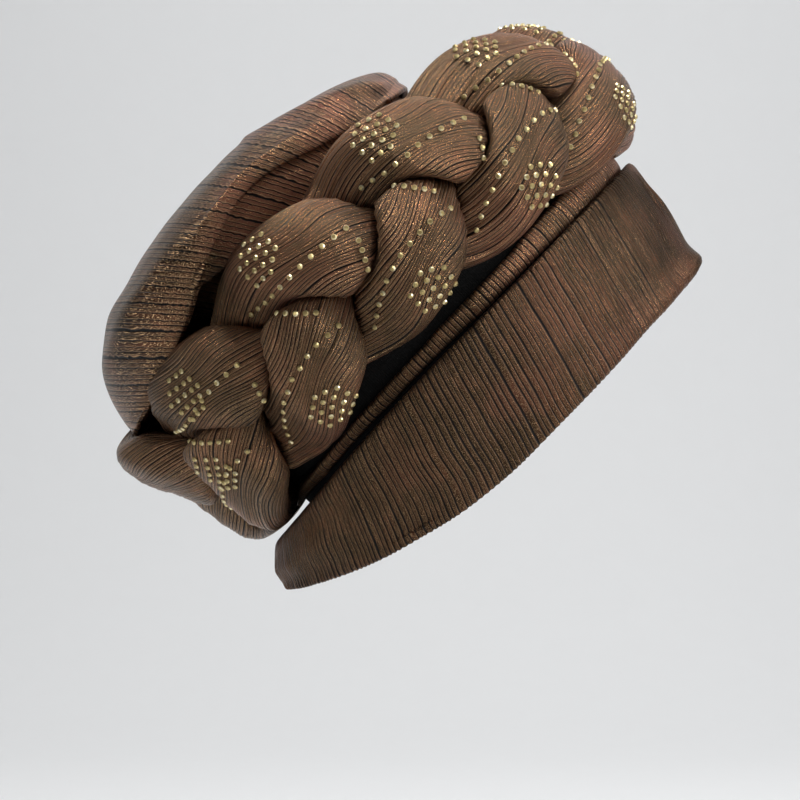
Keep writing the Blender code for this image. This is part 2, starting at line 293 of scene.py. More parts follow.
def grid_object(name, grid, ribs, along, close_rows=False, apex=None, apex_weave=None):
    """A mesh from a grid whose columns close on themselves, with its rib map as UVs.

    ribs and along give, at each column edge and row, the rib's number and the
    distance along it; both have one column more than the grid, for the seam.
    """
    rows, columns = grid.shape[:2]
    vertices = grid.reshape(-1, 3)
    last = rows if close_rows else rows - 1
    row = np.arange(last)[:, None]
    column = np.arange(columns)[None, :]
    row_after = (row + 1) % rows
    column_after = (column + 1) % columns
    corners = (
        (row * columns + column, row, column),
        (row * columns + column_after, row, column + 1),
        (row_after * columns + column_after, row + 1, column + 1),
        (row_after * columns + column, row + 1, column),
    )
    faces = np.stack([np.broadcast_to(c[0], (last, columns)) for c in corners], -1).reshape(-1, 4)
    uvs = []
    for _, r, c in corners:
        r = np.broadcast_to(np.minimum(r, len(ribs) - 1), (last, columns))
        c = np.broadcast_to(c, (last, columns))
        uvs.append(np.stack((ribs[r, c], along[r, c]), -1))
    uvs = np.stack(uvs, -2).reshape(-1, 2)
    faces = faces.tolist()
    if apex is not None:
        vertices = np.concatenate((vertices, apex[None]))
        top = len(vertices) - 1
        base = (rows - 1) * columns
        for c in range(columns):
            faces.append((base + c, base + (c + 1) % columns, top))
        ring = np.stack((ribs[-1, :-1], along[-1, :-1]), -1)
        ring_after = np.stack((ribs[-1, 1:], along[-1, 1:]), -1)
        tip = ring if apex_weave is None else np.broadcast_to(apex_weave, ring.shape)
        uvs = np.concatenate((uvs, np.stack((ring, ring_after, tip), 1).reshape(-1, 2)))
    mesh = bpy.data.meshes.new(name)
    mesh.from_pydata(vertices, [], faces)
    layer = mesh.uv_layers.new(name="Weave")
    layer.data.foreach_set("uv", uvs.astype(np.float32).ravel())
    mesh.polygons.foreach_set("use_smooth", np.ones(len(mesh.polygons), bool))
    mesh.update()
    middles = np.repeat(grid.mean(axis=1)[:last], columns, axis=0)
    face_outward(mesh, middles)
    made = bpy.data.objects.new(name, mesh)
    bpy.context.scene.collection.objects.link(made)
    return made


def add_wall(piece, wall):
    modifier = piece.modifiers.new("Wall", "SOLIDIFY")
    modifier.thickness = wall
    modifier.offset = -1


def dress(piece, node, material):
    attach(piece, "root")
    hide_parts(node)
    piece.data.materials.clear()
    piece.data.materials.append(material)


class Nodes:
    """Builds a material's node tree one named step at a time."""

    def __init__(self, name):
        self.material = bpy.data.materials.new(name)
        self.material.use_nodes = True
        self.tree = self.material.node_tree
        self.shader = self.tree.nodes["Principled BSDF"]

    def add(self, kind, settings=(), **inputs):
        node = self.tree.nodes.new("ShaderNode" + kind)
        for key, value in dict(settings).items():
            setattr(node, key, value)
        for key, value in inputs.items():
            self.feed(node.inputs[int(key[1:])] if key[0] == "_" else node.inputs[key], value)
        return node

    def feed(self, socket, value):
        if isinstance(value, bpy.types.NodeSocket):
            self.tree.links.new(value, socket)
        else:
            socket.default_value = value

    def math(self, operation, first, second=0.0, third=0.0):
        node = self.add("Math", {"operation": operation}, _0=first, _1=second, _2=third)
        return node.outputs[0]

    def noise(self, place, scale, detail=2.0, roughness=0.5):
        node = self.add("TexNoise", Vector=place, Scale=scale, Detail=detail, Roughness=roughness)
        return node.outputs["Fac"]

    def spread(self, value, low, high, to_low=0.0, to_high=1.0):
        node = self.add(
            "MapRange", {"interpolation_type": "SMOOTHSTEP"},
            _0=value, _1=low, _2=high, _3=to_low, _4=to_high,
        )
        return node.outputs[0]

    def ramp(self, value, stops):
        node = self.add("ValToRGB", Fac=value)
        band = node.color_ramp
        while len(band.elements) > 1:
            band.elements.remove(band.elements[-1])
        band.elements[0].position, band.elements[0].color = stops[0][0], (*stops[0][1], 1)
        for at, colour in stops[1:]:
            band.elements.new(at).color = (*colour, 1)
        return node.outputs["Color"]

    def mix(self, share, first, second):
        node = self.add("Mix", {"data_type": "RGBA"}, _0=share, _6=first, _7=second)
        return node.outputs[2]

    def vector(self, x, y, z=0.0):
        return self.add("CombineXYZ", _0=x, _1=y, _2=z).outputs[0]


def lurex(name, seed, groove=0.15, bump=0.7, tone=1.0, redness=0.6):
    """Ribbed metallic cloth: dark bronze ribs, some reddish, gold threads, black grooves, and a painted highlight
    line along one side of each groove.

    groove is the share of a rib that a wide dark groove takes on each side of its
    middle, bump the strength of the relief, tone how light the bronze is, and
    redness how red its red patches are.
    """
    n = Nodes(name)
    weave = n.add("SeparateXYZ", _0=n.add("UVMap", {"uv_map": "Weave"}).outputs[0])
    across = weave.outputs[0]
    along = weave.outputs[1]
    place_3d = n.add("TexCoord").outputs["Object"]
    rib = n.math("ROUND", across)
    side = n.math("SUBTRACT", across, rib)
    chance = n.add("TexWhiteNoise", {"noise_dimensions": "1D"}, W=n.math("ADD", rib, seed)).outputs["Value"]
    fade = n.noise(n.vector(n.math("MULTIPLY", rib, 3.7), n.math("MULTIPLY", along, 0.045), seed), 1.0, 2.0)
    width = n.math("MULTIPLY", n.math("MULTIPLY_ADD", chance, groove * 0.55, groove * 0.75), n.spread(fade, 0.2, 0.6, 0.7, 1.1))
    ridge = n.spread(n.math("ABSOLUTE", side), n.math("MULTIPLY", width, 0.45), width)
    # Painted highlight: a thin lighter, gold-brown line along one side of every groove, standing for a rib's edge
    # catching the light.
    beside = n.math("ABSOLUTE", n.math("SUBTRACT", side, n.math("MULTIPLY", width, 1.45)))
    painted_highlight_line = n.spread(beside, 0.0, 0.09, 1.0, 0.0)
    streak = n.noise(n.vector(n.math("MULTIPLY", rib, 1.3), n.math("MULTIPLY", along, 0.10), seed), 1.0, 3.0, 0.6)
    thread = n.noise(
        n.vector(n.math("MULTIPLY", across, 5.0), n.math("MULTIPLY", along, 2.6), seed), 1.0, 2.0, 0.75
    )
    patch = n.noise(place_3d, 34.0, 3.0, 0.5)
    level = n.math("ADD", n.math("MULTIPLY", streak, 0.55), n.math("MULTIPLY", patch, 0.45))
    stops = (
        (0.34, (0.026, 0.017, 0.010)),
        (0.44, (0.055, 0.031, 0.019)),
        (0.54, (0.105, 0.050, 0.030)),
        (0.66, (0.215, 0.088, 0.050)),
    )
    bronze = n.ramp(level, [(at, tuple(tone * part for part in colour)) for at, colour in stops])
    red = n.spread(n.noise(place_3d, 19.0, 2.0), 0.47, 0.62, 0.0, redness)
    rosy = n.mix(red, bronze, (0.175 * tone, 0.062 * tone, 0.044 * tone, 1))
    glitter = n.spread(thread, 0.52, 0.66)
    gilded = n.mix(n.math("MULTIPLY", glitter, 0.9 * tone), rosy, (1.0, 0.64, 0.33, 1))
    with_painted_highlight = n.mix(n.math("MULTIPLY", painted_highlight_line, 0.6 * tone), gilded, (0.46, 0.29, 0.17, 1))
    colour = n.mix(ridge, (0.003, 0.0025, 0.0025, 1), with_painted_highlight)
    n.feed(n.shader.inputs["Base Color"], colour)
    n.feed(n.shader.inputs["Metallic"], n.math("MULTIPLY", ridge, 0.92))
    n.feed(n.shader.inputs["Roughness"], n.math("MULTIPLY_ADD", glitter, -0.10, 0.31))
    n.shader.inputs["Specular IOR Level"].default_value = 0.15
    height = n.math("ADD", n.math("MULTIPLY", ridge, 0.8), n.math("MULTIPLY", thread, 1.1))
    relief = n.add("Bump", Strength=bump, Distance=0.0006, Height=height)
    n.feed(n.shader.inputs["Normal"], relief.outputs[0])
    return n.material


def knit(name):
    """Dull black stretch knit."""
    n = Nodes(name)
    weave = n.add("SeparateXYZ", _0=n.add("UVMap", {"uv_map": "Weave"}).outputs[0])
    wale = n.math("SINE", n.math("MULTIPLY", weave.outputs[0], 2 * math.pi))
    course = n.math("SINE", n.math("MULTIPLY", weave.outputs[1], math.pi))
    height = n.math("ADD", wale, n.math("MULTIPLY", course, 0.6))
    fuzz = n.noise(n.add("TexCoord").outputs["Object"], 900.0)
    shade = n.math("MULTIPLY_ADD", fuzz, 0.012, 0.004)
    n.feed(n.shader.inputs["Base Color"], n.add("CombineColor", _0=shade, _1=shade, _2=shade).outputs[0])
    n.shader.inputs["Roughness"].default_value = 0.95
    n.shader.inputs["Specular IOR Level"].default_value = 0.15
    relief = n.add("Bump", Strength=0.4, Distance=0.0004, Height=height)
    n.feed(n.shader.inputs["Normal"], relief.outputs[0])
    return n.material


def rhinestone(name):
    """Pale gold foiled stone with a darker table; each stone's tone differs a little."""
    n = Nodes(name)
    tint = n.noise(n.add("TexCoord").outputs["Object"], 320.0, 0.0)
    rim = n.ramp(tint, (
        (0.35, (0.52, 0.41, 0.19)),
        (0.5, (0.70, 0.58, 0.30)),
        (0.65, (0.88, 0.78, 0.50)),
    ))
    facet = n.add("SeparateXYZ", _0=n.add("UVMap", {"uv_map": "Facet"}).outputs[0]).outputs[0]
    colour = n.mix(n.spread(facet, 0.56, 0.75), (0.42, 0.33, 0.14, 1), rim)
    n.feed(n.shader.inputs["Base Color"], colour)
    n.shader.inputs["Metallic"].default_value = 0.75
    n.shader.inputs["Roughness"].default_value = 0.32
    return n.material


def plain(name, colour, roughness):
    n = Nodes(name)
    grain = n.noise(n.add("TexCoord").outputs["Object"], 40.0)
    shade = n.ramp(grain, ((0.0, tuple(c * 0.985 for c in colour)), (1.0, colour)))
    n.feed(n.shader.inputs["Base Color"], shade)
    n.shader.inputs["Roughness"].default_value = roughness
    return n.material


def wreath_reach(angle):
    return np.where(np.cos(angle) > 0, WREATH_FRONT_REACH, WREATH_BACK_REACH)


def wreath_line(angle):
    """The braid's middle line in the wreath's frame."""
    return join(
        wreath_reach(angle) * np.cos(angle),
        WREATH_HALF_WIDTH * np.sin(angle),
        between(WREATH_FRONT_RISE, WREATH_SIDE_RISE, WREATH_BACK_RISE, angle),
    )


def wreath_axes(angle):
    """Unit vectors at the braid's middle line: outward, and across it towards the headband."""
    along = unit(wreath_line(angle + 1e-4) - wreath_line(angle - 1e-4))
    flat = unit(join(np.cos(angle) / wreath_reach(angle), np.sin(angle) / WREATH_HALF_WIDTH, 0 * angle))
    lean = between(BRAID_LEAN_FRONT, 0, BRAID_LEAN_BACK, angle)[..., None]
    outward = flat * np.cos(lean) - np.array((0, 0, 1)) * np.sin(lean)
    outward = unit(outward - along * (outward * along).sum(-1, keepdims=True))
    across = np.cross(outward, along)
    return outward, np.where(across[..., 2:] < 0, across, -across)


def skull(angle, level):
    """A point of the inner cap: level 0 is its widest ring, 1 its top."""
    around = (1 - np.abs(level) ** SKULL_ROUNDNESS) ** (1 / SKULL_ROUNDNESS)
    return join(
        SKULL_HALF_LENGTH * around * np.cos(angle),
        SKULL_HALF_WIDTH * around * np.sin(angle),
        -SKULL_DROP + SKULL_HEIGHT * level + 0 * angle,
    )


def ring_point(angle, front, back, half_width, drops):
    middle = (front + back) / 2
    reach = (front - back) / 2
    return join(middle + reach * np.cos(angle), half_width * np.sin(angle), -between(*drops, angle))


def fold_point(angle):
    return ring_point(angle, FOLD_FORWARD_FRONT, FOLD_FORWARD_BACK, FOLD_HALF_WIDTH, FOLD_DROPS)


def hem_point(angle):
    return ring_point(angle, HEM_FORWARD_FRONT, HEM_FORWARD_BACK, HEM_HALF_WIDTH, HEM_DROPS)


def ring_normal(angle):
    return unit(join(np.cos(angle) / SKULL_HALF_LENGTH, np.sin(angle) / SKULL_HALF_WIDTH, 0 * angle))


def roll_half_height(angle):
    share = np.cos(angle / 2) ** 4
    return ROLL_HALF_HEIGHT_BACK + (ROLL_HALF_HEIGHT_FRONT - ROLL_HALF_HEIGHT_BACK) * share


def roll_middle(angle):
    middle = skull(angle, 0) + ring_normal(angle) * (ROLL_HALF_DEPTH + SEAT_GAP)
    crease = CREASE_BACK + (CREASE_FRONT - CREASE_BACK) * np.cos(angle / 2) ** 2
    middle[..., 2] = fold_point(angle)[..., 2] + crease + roll_half_height(angle)
    return middle


def clear_of_head(points):
    """Which points of the braid lie clear of the inner cap, the roll and the headband."""
    forward = points[..., 0] / SKULL_HALF_LENGTH
    near = points[..., 1] / SKULL_HALF_WIDTH
    angle = np.arctan2(near, forward)
    level = np.maximum(0, (points[..., 2] + SKULL_DROP) / SKULL_HEIGHT)
    around = np.hypot(forward, near) / 1.012
    in_skull = around ** SKULL_ROUNDNESS + level ** SKULL_ROUNDNESS < 1
    reach = np.hypot(points[..., 0], points[..., 1])
    fold = fold_point(angle)
    beyond_fold = reach - np.hypot(fold[..., 0], fold[..., 1])
    in_band = (points[..., 2] < fold[..., 2] + FOLD_CLEARANCE) & (
        beyond_fold < BAND_BULGE + FOLD_CLEARANCE
    )
    middle = roll_middle(angle)
    out = reach - np.hypot(middle[..., 0], middle[..., 1])
    depth = out / (ROLL_HALF_DEPTH + ROLL_CLEARANCE)
    height = (points[..., 2] - middle[..., 2]) / (roll_half_height(angle) + ROLL_CLEARANCE)
    past_roll = ((depth > 0) & (np.hypot(depth, height) > 1)) | (height > 1)
    return ~in_skull & ~in_band & past_roll


def strand_phase(strand, angle):
    """How far a strand is along its own crossing, in radians; a lobe is a half turn long."""
    shift = LOBE_SHIFT_ENDS * np.cos(angle) + LOBE_SHIFT_SIDES * np.sin(2 * angle)
    turn = BRAID_PERIODS * (angle - FIRST_LOBE) + math.pi / 2 + shift
    return turn + 2 * math.pi * strand / STRANDS


def strand_drift(strand, angle):
    """A slow turn of the cloth round the strand, in radians."""
    return 0.05 * wobble(angle * 5, 0 * angle, strand)


def strand_middle(strand, angle):
    """A strand's middle line in the wreath's frame."""
    phase = strand_phase(strand, angle)
    outward, across = wreath_axes(angle)
    aside = (STRAND_SWING * np.sin(phase))[..., None]
    lift = (STRAND_LIFT * np.sin(2 * phase))[..., None]
    return wreath_line(angle) + across * aside + outward * lift


def strand_surface(strand, angle, around):
    """Points of a padded strand at angles round the wreath and round its own section."""
    angle, around = np.broadcast_arrays(angle, around)
    phases = [strand_phase(k, angle) for k in range(STRANDS)]
    middles = [join(STRAND_SWING * np.sin(p), STRAND_LIFT * np.sin(2 * p)) for p in phases]
    middle = middles[strand]
    half_width = between(BRAID_HALF_WIDTH_FRONT, BRAID_HALF_WIDTH_SIDE, BRAID_HALF_WIDTH_BACK, angle)
    tuck = 1 - STRAND_TUCK * (1 - np.sin(2 * phases[strand])) / 2
    own = join((half_width - STRAND_SWING) * tuck, STRAND_HALF_DEPTH + 0 * angle)
    whole = join(half_width, BRAID_HALF_DEPTH + 0 * angle)
    spread = np.sqrt(own)
    ray = unit(join(spread[..., 0] * np.cos(around), spread[..., 1] * np.sin(around)))
    limits = [1 / length_of(ray / own)[..., 0]]
    a = (ray ** 2 / whole ** 2).sum(-1)
    b = (ray * middle / whole ** 2).sum(-1)
    c = (middle ** 2 / whole ** 2).sum(-1) - 1
    limits.append((np.sqrt(b * b - a * c) - b) / a)
    for k in range(STRANDS):
        if k == strand:
            continue
        away = middles[k] - middle
        distance = length_of(away)[..., 0]
        facing = (ray * away).sum(-1) / distance
        limits.append((distance - STRAND_GAP) / 2 / np.maximum(facing, 0.05))
    reach = sum(limit ** -10.0 for limit in limits) ** -0.1
    outward, across = wreath_axes(angle)
    centre = wreath_line(angle) + across * middle[..., :1] + outward * middle[..., 1:]
    offset = (across * ray[..., :1] + outward * ray[..., 1:]) * reach[..., None]
    low = np.zeros(angle.shape)
    high = np.ones(angle.shape)
    blocked = ~clear_of_head(centre + offset)
    for _ in range(12):
        share = (low + high) / 2
        clear = clear_of_head(centre + offset * share[..., None])
        low = np.where(clear, share, low)
        high = np.where(clear, high, share)
    return shape_nape(centre + offset * np.where(blocked, low, 1)[..., None], angle)


def shape_nape(points, angle):
    """Pushes the braid's outer side out above the nape and in below it."""
    back = np.clip((-np.cos(angle) - 0.35) / 0.5, 0, 1)
    depth = np.clip((-points[..., 0] - 0.100) / 0.035, 0, 1)
    push = np.interp(points[..., 2], NAPE_HEIGHTS, NAPE_PUSHES)
    return points - join(push * back * back * (3 - 2 * back) * depth, 0, 0)


def build_strand(strand):
    """One padded strand, its ribs running along it and gathering where it dives under."""
    columns = STRAND_RIBS * RIB_COLUMNS
    angle = around_ring(STRAND_STATIONS)[:, None]
    around = around_ring(columns)[None, :]
    grid = strand_surface(strand, angle, around + strand_drift(strand, angle))
    normals = surface_normals(grid, True)
    rib = uneven(np.arange(columns)[None, :] / RIB_COLUMNS, STRAND_RIBS)
    phase = strand_phase(strand, angle)
    gather = 0.5 - 0.5 * np.sin(2 * phase)
    pleats = wobble(around * 8, angle * 3, strand + 4) * (0.2 + 0.8 * gather) * 0.0011
    depth = STRAND_RIB_DEPTH * (1 - 0.35 * gather) * groove_depth(rib, strand)
    grid = grid + normals * (rib_profile(rib) * depth + pleats)[..., None]
    ribs = uneven(np.arange(columns + 1) / RIB_COLUMNS, STRAND_RIBS)
    ribs = np.broadcast_to(ribs, (STRAND_STATIONS + 1, columns + 1))
    travelled = np.linspace(0, 1150, STRAND_STATIONS + 1)[:, None]
    along = np.broadcast_to(travelled, ribs.shape)
    name = f"braided_cloth_{strand + 1}"
    piece = grid_object(name, place(grid), ribs, along, close_rows=True)
    material = lurex(f"strand_lurex_{strand + 1}", 3.0 * strand)
    dress(piece, f"braid_strand_{strand + 1}", material)
    return piece


def band_point(angle, share, stand_off):
    bulge = BAND_BULGE * math.sin(math.pi * min(max(share, 0), 1))
    flat = fold_point(angle) * (1 - share) + hem_point(angle) * share
    return flat + ring_normal(angle) * (bulge + stand_off)


def build_headband():
    """The wide band: ribs from fold to hem, a turned hem and a soft swell between."""
    columns = BAND_RIBS * RIB_COLUMNS
    angle = around_ring(columns)
    flare = HEM_FLARE * (0.2 + 0.8 * np.clip(np.cos(angle), 0, 1) ** 2)[:, None]
    profile = [
        band_point(angle, share, stand_off)
        for share, stand_off in ((-0.035, -0.0020), (-0.03, -0.0008), (0.0, 0.0004), (0.08, 0.0006))
    ]
    profile += [band_point(angle, share, 0) for share in (0.22, 0.45, 0.66)]
    profile += [
        band_point(angle, share, flare * part)
        for share, part in ((0.82, 0.25), (0.91, 0.75), (0.96, 1.0), (0.995, 0.75), (1.005, 0.2))
    ]
    profile += [band_point(angle, 1.0, -0.0014), band_point(angle, 0.90, -0.0020)]
    rows = 44
    grid = resample(np.array(profile), rows)
    share = np.linspace(0, 1, rows)[:, None]
    nape = np.clip((-np.cos(angle) - 0.72) / 0.28, 0, 1) ** 2
    push = NAPE_BAND_PUSH * nape * np.clip((0.85 - share) / 0.4, 0, 1)
    grid = grid + ring_normal(angle) * push[..., None]
    normals = surface_normals(grid, False)
    swell = 0.0014 * wobble(angle[None, :] * 4, share * 4, 2) * np.sin(math.pi * share)
    ribs_at = uneven(np.arange(columns)[None, :] / RIB_COLUMNS, BAND_RIBS)
    depth = BAND_RIB_DEPTH * groove_depth(ribs_at, 7)
    grid = grid + normals * (rib_profile(ribs_at) * depth + swell)[..., None]
    sway = 0.0016 * wobble(share * 3.2, angle[None, :] * 4, 5)
    tangent = unit(np.roll(grid, -1, axis=1) - np.roll(grid, 1, axis=1))
    grid = grid + tangent * sway[..., None]
    ribs = uneven(np.arange(columns + 1) / RIB_COLUMNS, BAND_RIBS)
    ribs = np.broadcast_to(ribs, (rows, columns + 1))
    along = np.broadcast_to(share * 95, ribs.shape)
    piece = grid_object("headband_cloth", place(grid), ribs, along)
    add_wall(piece, BAND_WALL)
    # Painted shade: the band wears the braid's own cloth made half as light, darker to stand in for the shade on
    # the band.
    dress(piece, "headband", lurex("band_lurex_darkened_for_shade", 11.0, tone=0.5))
    return piece


def build_roll():
    """The narrow ribbed roll inside the band's fold."""
    columns = BAND_RIBS * RIB_COLUMNS
    angle = around_ring(columns)[None, :]
    rows = 16
    around = around_ring(rows)[:, None]
    outward = ring_normal(angle)
    side = outward * (ROLL_HALF_DEPTH * np.cos(around))[..., None]
    rise = join(0 * angle * around, 0 * angle * around, roll_half_height(angle) * np.sin(around))
    grid = roll_middle(angle) + side + rise
    normals = surface_normals(grid, True)
    ribs_at = uneven(np.arange(columns)[None, :] / RIB_COLUMNS, BAND_RIBS)
    crease = 0.0004 * wobble(angle * 9, around, 8)
    grid = grid + normals * (rib_profile(ribs_at) * BAND_RIB_DEPTH * 0.8 + crease)[..., None]
    ribs = uneven(np.arange(columns + 1) / RIB_COLUMNS, BAND_RIBS)
    ribs = np.broadcast_to(ribs, (rows + 1, columns + 1))
    along = np.broadcast_to(np.linspace(0, 30, rows + 1)[:, None], ribs.shape)
    piece = grid_object("roll_cloth", place(grid), ribs, along, close_rows=True)
    dress(piece, "band_roll", lurex("roll_lurex_look", 17.0))
    return piece


def build_cap():
    """The black knitted cap that carries the rest."""
    columns = 120
    angle = around_ring(columns)
    waist = skull(angle, 0)
    waist[:, 2] = fold_point(angle)[:, 2] - 2 * ROLL_CLEARANCE
    face = hem_point(angle) - fold_point(angle)
    slant = length_of(face) / np.abs(face[:, 2:])
    rim = band_point(angle, CAP_RIM_SHARE, 0) - ring_normal(angle) * (BAND_WALL + SEAT_GAP) * slant
    profile = [rim, rim * 0.6 + waist * 0.4, waist]
    profile += [skull(angle, level) for level in (0, 0.32, 0.647, 0.83, 0.94, 0.985)]
    rows = 40
    grid = resample(np.array(profile), rows)
    ribs = np.broadcast_to(np.arange(columns + 1) * 5.0, (rows, columns + 1))
    along = np.broadcast_to(np.linspace(0, 180, rows)[:, None], ribs.shape)
    top = place(np.array((0, 0, SKULL_HEIGHT - SKULL_DROP)))
    piece = grid_object("inner_cap_cloth", place(grid), ribs, along, apex=top)
    add_wall(piece, CAP_WALL)
    dress(piece, "under_cap", knit("black_knit"))
    return piece


def fold_height(angle):
    turned = np.abs((np.degrees(angle) + 180) % 360 - 180)
    samples = [np.interp(np.abs(turned + s), FOLD_LINE[:, 0], FOLD_LINE[:, 1]) for s in (-6, -3, 0, 3, 6)]
    return np.mean(samples, axis=0)


def bag_weave(points):
    """The bag's rib number and distance along the rib: the ribs fan out from one line."""
    forward = BAG_FAN[0] - points[..., 0]
    up = points[..., 2] - BAG_FAN[1]
    lift = np.arctan2(up, forward) * BAG_FAN_REACH
    lift = lift + 0.003 * wobble(points[..., 0] * 22, points[..., 1] * 15, 3)
    lift = lift + 0.0008 * wobble(lift * 900, 0 * lift, 6)
    return join(lift / BAG_RIB_PITCH, (points[..., 0] + points[..., 1]) * 1000)


def build_bag():
    """The draped crown bag with its folded-under outer layer."""
    angle = around_ring(BAG_COLUMNS)
    foot_level = (1 - FOOT_SHARE ** SKULL_ROUNDNESS) ** (1 / SKULL_ROUNDNESS)
    profile = [skull(angle, foot_level) + ring_normal(angle) * (BAG_WALL + SEAT_GAP)]
    for length, width, shift, front, side, back, rides, flared in BAG_ROWS:
        height = between(front, side, back, angle) + rides * fold_height(angle)
        flare = BAG_BACK_FLARE * flared * np.clip(-np.cos(angle), 0, 1) ** 2
        profile.append(join(
            -BAG_SHIFT_BACK * shift + BAG_HALF_LENGTH * length * np.cos(angle) - flare,
            BAG_HALF_WIDTH * width * np.sin(angle),
            BAG_HEIGHT * height,
        ))
    grid = resample(np.array(profile), BAG_ROW_COUNT)
    normals = surface_normals(grid, False)
    share = np.linspace(0, 1, BAG_ROW_COUNT)[:, None]
    world = place(grid)
    nearness = np.full(world.shape[:2], 1.0)
    for start, end in zip(BAG_RIDGE[:-1], BAG_RIDGE[1:]):
        start, end = np.array(start), np.array(end)
        flat = world[..., ::2] - start
        t = np.clip((flat @ (end - start)) / ((end - start) @ (end - start)), 0, 1)
        nearness = np.minimum(nearness, length_of(flat - t[..., None] * (end - start))[..., 0])
    beside = np.clip((np.abs(world[..., 1]) - 0.030) / 0.020, 0, 1)
    ridge = np.exp(-(nearness / BAG_RIDGE_WIDTH) ** 2) * beside
    grid = grid + normals * (BAG_RIDGE_HEIGHT * ridge)[..., None]
    drape = wobble(world[..., 2] * 60, world[..., 0] * 25 + world[..., 1] * 12, 1)
    fade = np.clip(share * 6, 0, 1) * np.clip((1 - share) * 8, 0, 1)
    grid = grid + normals * (0.0012 * drape * fade)[..., None]
    world = place(grid)
    top = place(np.array((-BAG_SHIFT_BACK * 0.8, 0, BAG_HEIGHT)))
    weave = bag_weave(world)
    weave = np.concatenate((weave, weave[:, :1]), axis=1)
    piece = grid_object(
        "crown_bag_cloth", world, weave[..., 0], weave[..., 1], apex=top, apex_weave=bag_weave(top),
    )
    add_wall(piece, BAG_WALL)
    dress(piece, "crown_bag", lurex("bag_lurex_look", 23.0, redness=0.8))
    return piece


def stone_mesh(name, places, normals, along):
    """Many flat-backed stones as one mesh: a girdle, eight facets and a table each."""
    turn = np.arange(STONE_SIDES) * 2 * math.pi / STONE_SIDES
    circle = np.stack((np.cos(turn), np.sin(turn)), -1)
    rings = ((1.0, -0.35), (1.0, 0.10), (0.55, 1.0))
    template = np.concatenate([
        np.concatenate((circle * r * STONE_RADIUS, np.full((STONE_SIDES, 1), h * STONE_HEIGHT)), 1)
        for r, h in rings
    ])
    faces = []
    for level in range(len(rings) - 1):
        for i in range(STONE_SIDES):
            j = (i + 1) % STONE_SIDES
            base = level * STONE_SIDES
            faces.append((base + i, base + j, base + STONE_SIDES + j, base + STONE_SIDES + i))
    faces.append(tuple(range(2 * STONE_SIDES, 3 * STONE_SIDES)))
    faces.append(tuple(reversed(range(STONE_SIDES))))
    side = unit(np.cross(normals, along))
    ahead = np.cross(side, normals)
    vertices = (
        places[:, None]
        + template[None, :, 0:1] * side[:, None]
        + template[None, :, 1:2] * ahead[:, None]
        + template[None, :, 2:3] * normals[:, None]
    )
    count = len(template)
    all_faces = [tuple(v + i * count for v in face) for i in range(len(places)) for face in faces]
    mesh = bpy.data.meshes.new(name)
    mesh.from_pydata(vertices.reshape(-1, 3), [], all_faces)
    radii = np.repeat([r for r, _ in rings], STONE_SIDES)
    corners = np.empty(len(mesh.loops), np.int32)
    mesh.loops.foreach_get("vertex_index", corners)
    ring = radii[corners % count]
    layer = mesh.uv_layers.new(name="Facet")
    layer.data.foreach_set("uv", np.stack((ring, 0 * ring), -1).astype(np.float32).ravel())
    made = bpy.data.objects.new(name, mesh)
    bpy.context.scene.collection.objects.link(made)
    return made


def hex_disc(rings, pitch):
    """Points of a small filled hexagon, as (along, across) in metres."""
    points = [(0.0, 0.0)]
    for ring in range(1, rings + 1):
        for corner in range(6):
            a = math.radians(60 * corner)
            b = math.radians(60 * (corner + 1))
            for step in range(ring):
                t = step / ring
                points.append((
                    ring * pitch * ((1 - t) * math.cos(a) + t * math.cos(b)),
                    ring * pitch * ((1 - t) * math.sin(a) + t * math.sin(b)),
                ))
    return points


# Where the stones lie on a lobe: how far along it, in degrees of the braid's phase, and
# where round the strand, in degrees from the side towards the headband. Each side of
# the braid has a disc of stones near the lobe's outer end, a curved line and a top row.
LOBE_STONES = (
    # the lobes next to the headband
    {
        "disc": (62, 26),
        "nape_disc": (42, 100),
        "lines": (
            ((10, 60), (35, 84), (58, 98), (80, 92), (104, 76), (126, 50)),
            ((30, 142), (20, 112), (10, 84)),
        ),
    },
    # the lobes next to the crown bag
    {
        "disc": (252, 136),
        "nape_disc": (238, 114),
        "lines": (
            ((196, 104), (215, 98), (232, 88), (248, 82), (268, 84), (290, 96)),
            ((206, 44), (200, 66), (196, 84)),
        ),
    },
)
LINE_SPACINGS = (0.0062, 0.0042)
DISC_PITCH = 0.0050
BARE_NAPE = math.radians(20)
NAPE_LOBES = math.radians(50)


def strand_at_phase(strand, lobe, phase, place_round):
    """Surface points for phases in degrees counted from the given pair of lobes."""
    table = np.linspace(-2 * math.pi, 4 * math.pi, 6000)
    wanted = np.radians(np.asarray(phase, float)) + 2 * math.pi * lobe
    angle = np.interp(wanted, strand_phase(strand, table), table)
    drift = strand_drift(strand, angle)
    return strand_surface(strand, angle, np.radians(place_round) + drift), angle


def stone_line(strand, lobe, run, spacing):
    """Phases and places of stones evenly spaced along a run over the surface."""
    run = np.array(run, float)
    knots = np.arange(len(run))
    fine = np.linspace(0, len(run) - 1, 120)
    phase = np.interp(fine, knots, run[:, 0])
    place_round = np.interp(fine, knots, run[:, 1])
    points, _ = strand_at_phase(strand, lobe, phase, place_round)
    travelled = np.concatenate(((0,), np.cumsum(np.linalg.norm(np.diff(points, axis=0), axis=1))))
    at = np.arange(0, travelled[-1], spacing)
    return list(zip(np.interp(at, travelled, phase), np.interp(at, travelled, place_round)))


